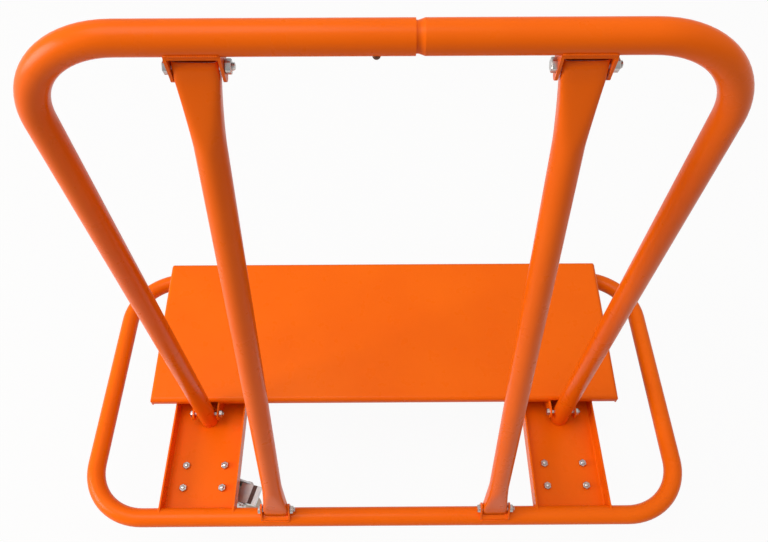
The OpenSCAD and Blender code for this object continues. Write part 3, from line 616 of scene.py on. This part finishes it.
@dataclass(frozen=True)
class Welder:
    """Lays painted weld beads with a fine ripple.

    Attributes:
        radius: Radius of a bead.
        pitch: Length of a ripple.
        ripple: Height of a ripple as a share of the radius.
        blunt: How blunt a bead's ends are.
        taper: Length of a bead's ends as a share of the radius.
        sides: Points round a bead.
        rings: Rings in a ripple.
    """

    radius: float = 2.3
    pitch: float = 3.2
    ripple: float = 0.16
    blunt: float = 0.4
    taper: float = 1.6
    sides: int = 10
    rings: int = 4

    def swell(self, along: float, total: float) -> float:
        """Size of a bead at a place, one at its middle and small at both ends."""
        closing = min(1.0, (min(along, total - along) + self.blunt) / (self.taper * self.radius))
        return math.sqrt(closing) * (1.0 + self.ripple * math.sin(math.tau * along / self.pitch))

    def straight(self, bm: Mesh, frame_to: Matrix, start: Vector, end: Vector) -> None:
        """Lays a straight bead.

        Args:
            bm: Takes the bead.
            frame_to: Frame of the points.
            start: Start, in millimetres.
            end: End, in millimetres.
        """
        line = end - start
        steps = round(self.rings * line.length / self.pitch)
        turn = line.to_track_quat("Z", "Y").to_matrix().to_4x4()
        new = bmesh.new()
        bmesh.ops.create_circle(new, segments=self.sides, radius=self.radius)
        bmesh.ops.spin(new, geom=new.verts[:] + new.edges[:], cent=ORIGIN, axis=UP, angle=0.0,
                       dvec=(0, 0, line.length / steps), steps=steps)
        for vert in new.verts:
            size = self.swell(vert.co.z, line.length)
            vert.co.x, vert.co.y = vert.co.x * size, vert.co.y * size
        self.close(bm, new, frame_to @ TO_METRES @ Matrix.Translation(start) @ turn)

    def hoop(self, bend: float, angle: float, steps: int, size: Callable[[float], float]) -> Mesh:
        """A bead bent round the X axis, from +Y on.

        Args:
            bend: Radius of the bend.
            angle: Angle that it goes round, in radians.
            steps: Rings in it.
            size: Gives the bead's size at an angle.

        Returns:
            The bead, in millimetres.
        """
        new = bmesh.new()
        bmesh.ops.create_circle(new, segments=self.sides, radius=self.radius,
                                matrix=Matrix.Translation((0, bend, 0)))
        bmesh.ops.spin(new, geom=new.verts[:] + new.edges[:], cent=ORIGIN, axis=(1, 0, 0),
                       angle=angle, steps=steps, use_merge=angle == math.tau)
        for vert in new.verts:
            at = math.atan2(vert.co.z, vert.co.y)
            path = Vector((0, math.cos(at), math.sin(at))) * bend
            vert.co = path + (vert.co - path) * size(at)
        return new

    def arc(self, bm: Mesh, centre: Vector, bend: float, first: float, last: float) -> None:
        """Lays a bead part of the way round a tube along X.

        Args:
            bm: Takes the bead.
            centre: Centre of the arc, in millimetres.
            bend: Radius of the arc.
            first: First angle in degrees, from +Y towards +Z.
            last: Last angle in degrees.
        """
        span = math.radians(last - first)
        total = span * bend
        new = self.hoop(
            bend, span, round(self.rings * total / self.pitch),
            lambda at: self.swell(min((at + math.tau * (at < -MERGE)) * bend, total), total))
        turn = Matrix.Rotation(math.radians(first), 4, "X")
        self.close(bm, new, TO_METRES @ Matrix.Translation(centre) @ turn)

    def ring(self, bm: Mesh, centre: Vector, bend: float) -> None:
        """Lays a closed bead round a tube along X.

        Args:
            bm: Takes the bead.
            centre: Centre of the ring, in millimetres.
            bend: Radius of the ring.
        """
        ripples = round(math.tau * bend / self.pitch)
        new = self.hoop(bend, math.tau, self.rings * ripples,
                        lambda at: 1.0 + self.ripple * math.sin(ripples * at))
        self.close(bm, new, TO_METRES @ Matrix.Translation(centre))

    def close(self, bm: Mesh, new: Mesh, matrix: Matrix) -> None:
        """Closes a bead's ends and adds it to the run.

        Args:
            bm: Takes the bead.
            new: The bead, in millimetres; freed here.
            matrix: Its frame.
        """
        ends = [edge for edge in new.edges if edge.is_boundary]
        bmesh.ops.holes_fill(new, edges=ends, sides=0)
        Workshop.move(new, matrix)
        Workshop.clean(new)
        Workshop.add(bm, new)


@dataclass
class WeldedFrame:
    """The welds that hold the base, channels, bearers and brackets together.

    Attributes:
        welder: Lays the beads.
        fine: Lays the finer beads of the brackets.
        end_place: How far a channel's end beads lie off the tube, above the floor and
            short of the channel's sides.
        lift: How far the other beads stand off tube and floor.
        arcs: First and last angle of the beads at a channel's rear and front corners.
        bearer_half: Half width of a bearer.
        stitches: Y of the start of each stitch beside a bearer.
        stitch_l: Length of a stitch.
        bracket_half: Half length of a bracket's bead.
        bracket_edge: Y and Z of the bracket's edge on its tube.
        seam_sink: Depth of the seam weld's middle under the tube's surface.
    """

    welder: Welder = field(default_factory=Welder)
    fine: Welder = field(default_factory=lambda: Welder(radius=1.2, pitch=2.2))
    end_place: Triple = (0.6, 0.4, 5.0)
    lift: float = 0.3
    arcs: tuple[Pair, Pair] = ((-48.0, 62.0), (118.0, 228.0))
    bearer_half: float = 25.5
    stitches: tuple[float, ...] = (-24.0, 48.0, 116.0)
    stitch_l: float = 28.0
    bracket_half: float = 25.5
    bracket_edge: Pair = (14.1, 10.6)
    seam_sink: float = 1.4

    def channel_run(self, side: int) -> Mesh:
        """Beads at both ends of a channel and along its bearer.

        Args:
            side: 0 for left, 1 for right.

        Returns:
            The beads.
        """
        bm = bmesh.new()
        sign = (-1, 1)[side]
        middle, half = sign * SIZES.channel_x, SIZES.channel_w / 2
        back = math.sqrt(SIZES.tube_r ** 2 - (SIZES.base_z - SIZES.floor_z) ** 2)
        off, above, short = self.end_place
        for end, arc in zip((-1, 1), self.arcs):
            y, z = end * (SIZES.base_half_y - back - off), SIZES.floor_z + above
            ends = (Vector((middle + s * (half - short), y, z)) for s in (-1, 1))
            self.welder.straight(bm, IN_PLACE, *ends)
            for edge in (-half, half):
                centre = Vector((middle + edge, end * SIZES.base_half_y, SIZES.base_z))
                self.welder.arc(bm, centre, SIZES.tube_r + self.lift, *arc)
        for edge in (-self.bearer_half, self.bearer_half):
            x, z = sign * SIZES.leg_x + edge, SIZES.floor_z + self.lift
            for start in self.stitches:
                ends = (Vector((x, y, z)) for y in (start, start + self.stitch_l))
                self.welder.straight(bm, IN_PLACE, *ends)
        return bm

    def bracket_run(self, frame_to: Matrix) -> Mesh:
        """Beads along both edges of a bracket.

        Args:
            frame_to: The bracket's frame.

        Returns:
            The beads.
        """
        bm = bmesh.new()
        for sign in (-1, 1):
            y, z = sign * self.bracket_edge[0], self.bracket_edge[1]
            ends = (Vector((s * self.bracket_half, y, z)) for s in (-1, 1))
            self.fine.straight(bm, frame_to, *ends)
        return bm

    def build(self) -> None:
        """Makes all the welds."""
        runs = {"base_seam_weld": bmesh.new()}
        centre = Vector((0, SIZES.base_half_y, SIZES.base_z))
        self.welder.ring(runs["base_seam_weld"], centre, SIZES.tube_r - self.seam_sink)
        for side, name in enumerate(SIDES):
            runs[f"{name}_channel_welds"] = self.channel_run(side)
            runs[f"{name}_foot_bracket_welds"] = self.bracket_run(SIZES.foot_frame(side))
            runs[f"{name}_top_bracket_welds"] = self.bracket_run(SIZES.top_frame(side))
        for name, bm in runs.items():
            SHOP.dress(Workshop.finish(name, bm, TUBE_CREASE), Slot.ORANGE, CART)


@dataclass(frozen=True)
class HexFastener:
    """A hex bolt with its nut, built along X about the middle of its grip.

    Attributes:
        flats: Width across flats.
        head: Height of the head.
        nut: Height of the nut.
        shank: Thread diameter.
        tail: Bolt end past the nut.
        chamfer: Depth of the chamfer on head and nut.
        cone: Width of that chamfer as a share of its depth.
        corner: Roundness of the hexagon's corners.
        tip: Chamfer of the bolt's end.
        pitch: Pitch of the thread.
        thread: Depth of the thread.
        crest: First and last place of the thread's crest in a pitch.
        hidden: How far inside of the nut's face the thread starts and the shank ends.
        runout: Bare end past the thread.
        round_steps: Points round the shank.
    """

    flats: float = 13.0
    head: float = 5.3
    nut: float = 6.5
    shank: float = 8.0
    tail: float = 3.0
    chamfer: float = 0.8
    cone: float = 1.5
    corner: float = 0.25
    tip: float = 0.7
    pitch: float = 1.25
    thread: float = 0.62
    crest: Pair = (0.44, 0.56)
    hidden: Pair = (1.0, 0.5)
    runout: float = 0.2
    round_steps: int = 24

    def bar(self, sides: int, radius: float, low: float, high: float) -> Mesh:
        """A straight bar along Z.

        Args:
            sides: Its sides.
            radius: Its radius over the corners.
            low: Its lower end.
            high: Its upper end.

        Returns:
            The bar.
        """
        new = bmesh.new()
        bmesh.ops.create_cone(new, cap_ends=True, segments=sides, radius1=radius, radius2=radius,
                              depth=high - low)
        bmesh.ops.translate(new, verts=new.verts[:], vec=(0, 0, (low + high) / 2))
        return new

    def prism(self, bm: Mesh, low: float, high: float, both: bool) -> None:
        """A six-sided block along X with chamfered ends.

        Args:
            bm: Takes the block.
            low: Its lower end.
            high: Its upper end.
            both: Whether the upper end has a chamfer too; the lower one always has.
        """
        outer = self.flats / 2 / math.cos(math.radians(30))
        low, high = low + self.chamfer, high - (self.chamfer if both else 0.0)
        new = self.bar(6, outer, low, high)
        caps = [face for face in new.faces
                if abs(face.normal.z) > 0.9 and (both or face.normal.z < 0)]
        for cap in caps:
            bmesh.ops.inset_region(new, faces=[cap], thickness=self.cone * self.chamfer,
                                   depth=self.chamfer)
        heights = {edge: abs(edge.verts[0].co.z - edge.verts[1].co.z) for edge in new.edges}
        upright = [edge for edge in new.edges if heights[edge] > (high - low) / 2]
        Workshop.soften(new, upright, self.corner)
        self.lay(bm, new)

    def ridge(self, bm: Mesh, low: float, high: float) -> None:
        """The thread's helical ridge round a bolt's end.

        Args:
            bm: Takes the ridge.
            low: Where it starts.
            high: Where it ends.
        """
        new = bmesh.new()
        turns = (high - low - self.pitch) / self.pitch
        steps = round(turns * self.round_steps)
        crest, root = self.shank / 2, self.shank / 2 - self.thread
        places = (0.0, *self.crest, 1.0)
        verts = [new.verts.new((radius, 0, low + place * self.pitch))
                 for radius, place in zip((root, crest, crest, root), places)]
        edges = [new.edges.new(pair) for pair in zip(verts, verts[1:])]
        bmesh.ops.spin(new, geom=verts + edges, cent=ORIGIN, axis=UP, angle=turns * math.tau,
                       steps=steps, dvec=(0, 0, (high - low - self.pitch) / steps))
        self.lay(bm, new)

    def lay(self, bm: Mesh, new: Mesh) -> None:
        """Turns a shape from Z to X and adds it.

        Args:
            bm: Takes the shape.
            new: The shape; freed here.
        """
        Workshop.clean(new)
        turn = Matrix.Rotation(math.radians(90), 3, "Y")
        bmesh.ops.rotate(new, verts=new.verts[:], cent=ORIGIN, matrix=turn)
        Workshop.add(bm, new)

    def bolt(self, grip: float) -> Mesh:
        """A bolt with its head below the grip and its thread past the nut.

        Args:
            grip: What it clamps.

        Returns:
            The bolt, in millimetres.
        """
        bm = bmesh.new()
        seat, radius = grip / 2, self.shank / 2
        face, end = seat + self.nut, seat + self.nut + self.tail
        self.prism(bm, -seat - self.head, -seat, False)
        self.lay(bm, self.bar(self.round_steps, radius, -seat, face - self.hidden[1]))
        core = self.bar(self.round_steps, radius - self.thread, seat, end)
        rim = [edge for edge in core.edges
               if all(vert.co.z > end - MERGE for vert in edge.verts)]
        Workshop.soften(core, rim, self.tip)
        self.lay(bm, core)
        self.ridge(bm, face - self.hidden[0], end - self.runout)
        return bm

    def hex_nut(self, grip: float) -> Mesh:
        """The nut of a bolt.

        Args:
            grip: What it clamps.

        Returns:
            The nut, in millimetres.
        """
        bm = bmesh.new()
        self.prism(bm, grip / 2, grip / 2 + self.nut, True)
        return bm


@dataclass
class FastenerSet:
    """Bolts and nuts of one size, standing for the plain solids of two nodes or one.

    Attributes:
        bolts: Node of the bolts.
        nuts: Node of the nuts, or nothing where both are one node.
        body: Body that they ride on.
        grip: What each bolt clamps.
        frames: Frame of each bolt, X along it.
        make: The fastener.
    """

    bolts: str
    nuts: str | None
    body: str
    grip: float
    frames: list[Matrix]
    make: HexFastener = field(default_factory=HexFastener)

    def build(self) -> None:
        """Makes the set."""
        bolt, nut = self.make.bolt(self.grip), self.make.hex_nut(self.grip)
        rows = [("threaded", [bolt], self.bolts), ("hex_nuts", [nut], self.nuts)]
        if self.nuts is None:
            rows = [("threaded", [bolt, nut], self.bolts)]
        for ending, shapes, node in rows:
            bm = bmesh.new()
            for shape in shapes:
                Workshop.add(bm, shape, [place @ TO_METRES for place in self.frames])
            piece = Workshop.finish(f"{self.bolts}_{ending}", bm, HEX_CREASE)
            SHOP.dress(piece, Slot.FASTENER, self.body, node)


def joint_row(name: str) -> dict:
    """The frame's row of a joint."""
    return next(row for row in frame["joints"] if row["name"] == name)


@dataclass
class Caster:
    """One swivel caster's tread, axle bolt and, on the rear ones, a dark pedal strip of painted
    shade.

    Attributes:
        name: Its place on the cart.
        core_r: Radius of the core.
        wheel_r: Radius of the wheel.
        half_w: Half width of the tread.
        shoulder: Radius of the tread's shoulders.
        shoulder_steps: Steps in a shoulder.
        crown: Fall of the tread's crown to its shoulders.
        crown_at: Place and fall of the crown's middle point, as shares.
        seam: Half width and height of the mould's parting line.
        lip: Outer and inner height of the tread's lip over the core, and its step.
        steps: Points round the tread.
        fork_w: Width over the fork.
        strip: First X, last X, low Z, high Z and half width of the pedal's strip, from its pin.
        ribs: Ribs and grooves across the strip.
        rib: Height of a rib.
        edge: Roundness of the strip's edges.
        sharp: Angle in radians above which an edge is rounded.
        slope: Slope of the pedal, in degrees.
    """

    name: str
    core_r: float = 48.55
    wheel_r: float = 62.5
    half_w: float = 16.0
    shoulder: float = 5.5
    shoulder_steps: int = 6
    crown: float = 0.5
    crown_at: Pair = (0.4, 0.3)
    seam: Pair = (0.6, 0.25)
    lip: Triple = (3.2, 2.4, 0.7)
    steps: int = 120
    fork_w: float = 47.0
    strip: tuple[float, float, float, float, float] = (11.5, 19.5, 8.2, 10.0, 18.6)
    ribs: int = 7
    rib: float = 0.25
    edge: float = 0.18
    sharp: float = 0.6
    slope: float = 4.0

    def axle_frame(self) -> Matrix:
        """Frame of the wheel: X along the axle.

        Returns:
            The frame, in metres.
        """
        spin = joint_row(f"{self.name}_wheel_spin")
        across = Vector(spin["axis"]).normalized()
        turn = Matrix((across, UP.cross(across), UP)).transposed().to_4x4()
        return Matrix.Translation(spin["pos_m"]) @ turn

    def tread(self) -> Mesh:
        """The tread: a crowned ring with round shoulders and a fine parting line.

        Returns:
            The ring, in metres.
        """
        bm = bmesh.new()
        edge, base, (outer, inner, step) = self.half_w, self.wheel_r - self.seam[1], self.lip
        half = [(0.0, self.wheel_r), (self.seam[0] * 0.5, self.wheel_r), (self.seam[0], base),
                (edge * self.crown_at[0], base - self.crown * self.crown_at[1])]
        for n in range(self.shoulder_steps + 1):
            angle = math.radians(90 * n / self.shoulder_steps)
            half.append((edge - self.shoulder * (1 - math.sin(angle)),
                         base - self.crown - self.shoulder * (1 - math.cos(angle))))
        half += [(edge, self.core_r + outer), (edge - step, self.core_r + inner),
                 (edge - step, self.core_r)]
        outline = half + [(-x, r) for x, r in reversed(half[1:])]
        verts = [bm.verts.new((x, 0, r)) for x, r in outline]
        edges = [bm.edges.new(pair) for pair in zip(verts, verts[1:] + verts[:1])]
        bmesh.ops.spin(bm, geom=verts + edges, cent=ORIGIN, axis=(1, 0, 0), angle=math.tau,
                       steps=self.steps, use_merge=True)
        Workshop.clean(bm)
        Workshop.move(bm, self.axle_frame() @ TO_METRES)
        return bm

    def pedal_shade_strip(self) -> Mesh:
        """A ribbed dark strip across the brake pedal: painted shade where the pedal lies in shade.

        Returns:
            The strip, in metres.
        """
        bm = bmesh.new()
        near, far, low, high, half = self.strip
        bmesh.ops.create_cube(bm, size=1.0)
        bmesh.ops.scale(bm, vec=(far - near, 2 * half, high - low), verts=bm.verts[:])
        bmesh.ops.translate(bm, vec=((near + far) / 2, 0, (low + high) / 2), verts=bm.verts[:])
        spans = {edge: edge.verts[0].co - edge.verts[1].co for edge in bm.edges}
        along = [edge for edge, span in spans.items() if abs(span.y) < MERGE < abs(span.x)]
        bmesh.ops.subdivide_edges(bm, edges=along, cuts=self.ribs - 1, use_grid_fill=True)
        for vert in bm.verts:
            if vert.co.z > high - MERGE:
                rib = round((vert.co.x - near) / (far - near) * self.ribs)
                vert.co.z += self.rib if rib % 2 else -self.rib
        edges = [edge for edge in bm.edges if edge.calc_face_angle(0.0) > self.sharp]
        Workshop.soften(bm, edges, self.edge)
        Workshop.clean(bm)
        brake = joint_row(f"{self.name}_brake")
        across = Vector(brake["axis"]).normalized()
        turn = Matrix((across.cross(UP), across, UP)).transposed().to_4x4()
        slope = Matrix.Rotation(math.radians(-self.slope), 4, "Y")
        Workshop.move(bm, Matrix.Translation(brake["pos_m"]) @ turn @ slope @ TO_METRES)
        return bm

    def build(self) -> None:
        """Makes the caster's pieces."""
        tread = Workshop.finish(f"{self.name}_moulded_tread", self.tread(), PART_CREASE)
        SHOP.dress(tread, Slot.TREAD, f"{self.name}_wheel", f"{self.name}_tread")
        FastenerSet(f"{self.name}_axle", None, f"{self.name}_swivel", self.fork_w,
                    [self.axle_frame()]).build()
        if self.name.startswith("rear"):
            # The strip's dark brown is painted shade on the pedal.
            strip = Workshop.finish(f"{self.name}_pedal_shade_strip", self.pedal_shade_strip(), PART_CREASE)
            SHOP.dress(strip, Slot.PEDAL_SHADE, f"{self.name}_pedal")


@dataclass
class SnapSpring:
    """The folded leaf behind the snap button; the real leaf bends as the button goes in.

    Attributes:
        node: The plain solid.
        joint: Name of the button's joint; not used.
        body: Body of the button.
        cuts: Cuts along each leg.
        edge: Roundness of the leaf's edges.
        flat: Angle in degrees below which faces are joined.
        sharp: Angle in radians above which an edge is rounded.
        leg_share: Least length of a leg's edge as a share of the longest edge.
    """

    node: str = "snap_spring"
    joint: str = "snap_button_press"
    body: str = "button"
    cuts: int = 7
    edge: float = 0.15
    flat: float = 1.0
    sharp: float = 1.0
    leg_share: float = 0.8

    def leaf(self) -> Mesh:
        """The leaf with soft edges, cut along its legs so that it can bend.

        Returns:
            The leaf, in metres.
        """
        bm = bmesh.new()
        bm.from_mesh(frame["nodes"][self.node].data)
        Workshop.clean(bm)
        bmesh.ops.dissolve_limit(bm, angle_limit=math.radians(self.flat), verts=bm.verts[:],
                                 edges=bm.edges[:])
        leg = self.leg_share * max(edge.calc_length() for edge in bm.edges)
        edges = [edge for edge in bm.edges if edge.calc_face_angle(0.0) > self.sharp]
        Workshop.soften(bm, edges, self.edge * MM)
        legs = [edge for edge in bm.edges if edge.calc_length() > leg]
        bmesh.ops.subdivide_edges(bm, edges=legs, cuts=self.cuts)
        bmesh.ops.triangulate(bm, faces=[face for face in bm.faces if len(face.verts) > 4])
        Workshop.clean(bm)
        return bm

    def build(self) -> None:
        """Makes the spring leaf in its place and hides the plain solid."""
        fold = Vector((0.0, *SIZES.bar)) * MM
        piece = Workshop.finish("snap_spring_leaf", self.leaf(), PART_CREASE)
        SHOP.coat(piece, Slot.SPRING)
        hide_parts(self.node)
        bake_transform(piece)
        LOG.info("piece %s: %s between %s and %s", piece.name, Slot.SPRING.value, CART, self.body)


def fastener_sets() -> list[FastenerSet]:
    """The bolts of the struts, legs and caster plates.

    Returns:
        The sets.
    """
    off = Matrix.Translation((0, 0, SIZES.strut_bolt * MM))
    struts = [turn @ off for side in (0, 1)
              for turn in (SIZES.foot_frame(side), SIZES.top_frame(side))]
    legs = [SIZES.leg_frame(side) for side in (0, 1)]
    upright = Matrix.Rotation(math.radians(-90), 4, "Y")
    (half_x, half_y), height = SIZES.plate_bolts, SIZES.floor_z - SIZES.plate_grip / 2
    plates = []
    for name, x, y in product(CASTERS, (-half_x, half_x), (-half_y, half_y)):
        swivel = joint_row(f"{name}_swivel_turn")["pos_m"]
        place = Vector((swivel[0] + x * MM, swivel[1] + y * MM, height * MM))
        plates.append(Matrix.Translation(place) @ upright)
    return [
        FastenerSet("strut_bolts", "strut_nuts", CART, SIZES.strut_grip, struts),
        FastenerSet("leg_bolts", "leg_nuts", CART, SIZES.leg_grip, legs),
        FastenerSet("caster_bolts", "caster_nuts", CART, SIZES.plate_grip, plates),
    ]


@dataclass
class PhotoCamera:
    """The camera at the photograph's angle.

    Attributes:
        place: Place in metres.
        focal: Focal length in picture pixels.
        pitch: Degrees below the horizon.
        yaw: Degrees towards +X.
        roll: Degrees about the view axis.
        clip: Nearest and furthest distance that it sees, in metres.
    """

    place: Triple = (-0.00332, -0.74456, 1.56933)
    focal: float = 753.63
    pitch: float = 53.256
    yaw: float = 0.256
    roll: float = -0.112
    clip: Pair = (0.05, 100.0)

    def build(self) -> None:
        """Makes the camera the scene's own."""
        pitch, yaw, roll = (math.radians(angle) for angle in (self.pitch, self.yaw, self.roll))
        level = Vector((math.sin(yaw), math.cos(yaw), 0.0))
        look = level * math.cos(pitch) - UP * math.sin(pitch)
        side = Vector((math.cos(yaw), -math.sin(yaw), 0.0))
        rise = side.cross(look)
        across = side * math.cos(roll) + rise * math.sin(roll)
        up = rise * math.cos(roll) - side * math.sin(roll)
        data = bpy.data.cameras.new("photo_camera")
        data.sensor_width = SENSOR_MM
        data.lens = self.focal * SENSOR_MM / PICTURE_WIDTH
        data.clip_start, data.clip_end = self.clip
        camera = bpy.data.objects.new("photo_camera", data)
        bpy.context.scene.collection.objects.link(camera)
        turn = Matrix((across, up, -look)).transposed().to_4x4()
        camera.matrix_world = Matrix.Translation(self.place) @ turn
        bpy.context.scene.camera = camera


@dataclass
class Studio:
    """A plain white studio: pale floor, soft sky and two large lamps.

    Attributes:
        floor_size: Half side of the floor, in metres.
        floor_colour: Colour of the floor.
        floor_roughness: Roughness of the floor.
        sky: Light from the horizon and from overhead.
        sky_full: Height on the unit dome from which the light is that from overhead.
        white_share: Share of pure white in what the camera sees of the floor.
        mirror_share: Share of that which mirrors and glass see.
        sky_mirror_share: Share of the white sky that mirrors and glass see.
        lamps: Name, place, side in metres and power in watts of each lamp; all aim at the cart.
        target: Point that the lamps aim at.
    """

    floor_size: float = 30.0
    floor_colour: Colour = (0.52, 0.47, 0.44)
    floor_roughness: float = 0.9
    sky: Pair = (0.26, 0.62)
    sky_full: float = 0.9
    white_share: float = 0.95
    mirror_share: float = 0.95
    sky_mirror_share: float = 0.2
    lamps: tuple[tuple[str, Triple, float, float], ...] = (
        ("overhead_softbox", (-1.6, -0.6, 6.0), 3.4, 150.0),
        ("left_softbox", (-4.0, -0.8, 1.8), 2.0, 130.0),
    )
    target: Triple = (0.0, 0.0, 0.4)

    def seen(self, graph: Graph, share: float) -> Socket:
        """One where a camera ray arrives, less for a mirror or glass ray, and zero elsewhere.

        Args:
            graph: Takes the nodes.
            share: What a mirror or glass ray gives.

        Returns:
            The value output.
        """
        path = graph.node("LightPath").outputs
        total = path["Is Camera Ray"]
        for name in ("Is Glossy Ray", "Is Transmission Ray"):
            total = graph.node("Math", {0: path[name], 1: share, 2: total},
                               operation="MULTIPLY_ADD", use_clamp=True).outputs[0]
        return total

    def build_sky(self) -> None:
        """Lights the world softly from above, and shows it white."""
        world = bpy.data.worlds.new("studio_sky")
        graph = Graph(world)
        direction = graph.node("TexCoord").outputs["Generated"]
        height = graph.node("SeparateXYZ", {0: direction}).outputs["Z"]
        dome = graph.span(height, self.sky, (0.0, self.sky_full), interpolation_type="SMOOTHSTEP")
        level = graph.span(self.seen(graph, self.sky_mirror_share), (dome, 1.0), (0.0, 1.0))
        background = {"Color": (1.0, 1.0, 1.0, 1.0), "Strength": level}
        graph.feed(graph.tree.nodes["Background"], background)
        bpy.context.scene.world = world

    def build_floor(self) -> None:
        """Lays the floor, nearly white to the camera, with the cart's shadow kept."""
        bm = bmesh.new()
        bmesh.ops.create_grid(bm, x_segments=1, y_segments=1, size=self.floor_size)
        floor = Workshop.finish("studio_floor", bm)
        material = bpy.data.materials.new("studio_floor")
        graph = Graph(material)
        shader = graph.tree.nodes["Principled BSDF"]
        graph.feed(shader, {"Base Color": (*self.floor_colour, 1.0),
                            "Roughness": self.floor_roughness, "Specular IOR Level": 0.0})
        share = graph.node("Math", {0: self.seen(graph, self.mirror_share), 1: self.white_share},
                           operation="MULTIPLY")
        shaders = {"Fac": share.outputs[0], 1: shader.outputs[0],
                   2: graph.node("Emission").outputs[0]}
        mix = graph.node("MixShader", shaders)
        graph.feed(graph.tree.nodes["Material Output"], {"Surface": mix.outputs[0]})
        floor.data.materials.append(material)

    def build_lamps(self) -> None:
        """Hangs the lamps."""
        for name, place, size, power in self.lamps:
            data = bpy.data.lights.new(name, "AREA")
            data.size, data.energy = size, power
            lamp = bpy.data.objects.new(name, data)
            bpy.context.scene.collection.objects.link(lamp)
            lamp.location = place
            aim = Vector(self.target) - Vector(place)
            lamp.rotation_euler = aim.to_track_quat("-Z", "Y").to_euler()

    def build(self) -> None:
        """Sets up floor, sky, lamps and the plain colour transform."""
        bpy.context.scene.view_settings.view_transform = "Standard"
        self.build_sky()
        self.build_floor()
        self.build_lamps()


def main() -> None:
    """Dresses the cart and sets up the studio."""
    logging.basicConfig(level=logging.INFO, format="%(message)s")
    SHOP.coat_solids(frame["nodes"])
    for side in (0, 1):
        FlaredStrut(side).build()
    WeldedFrame().build()
    for fasteners in fastener_sets():
        fasteners.build()
    for name in CASTERS:
        Caster(name).build()
    SnapSpring().build()
    Studio().build()
    PhotoCamera().build()


if __name__ == "__main__":
    main()
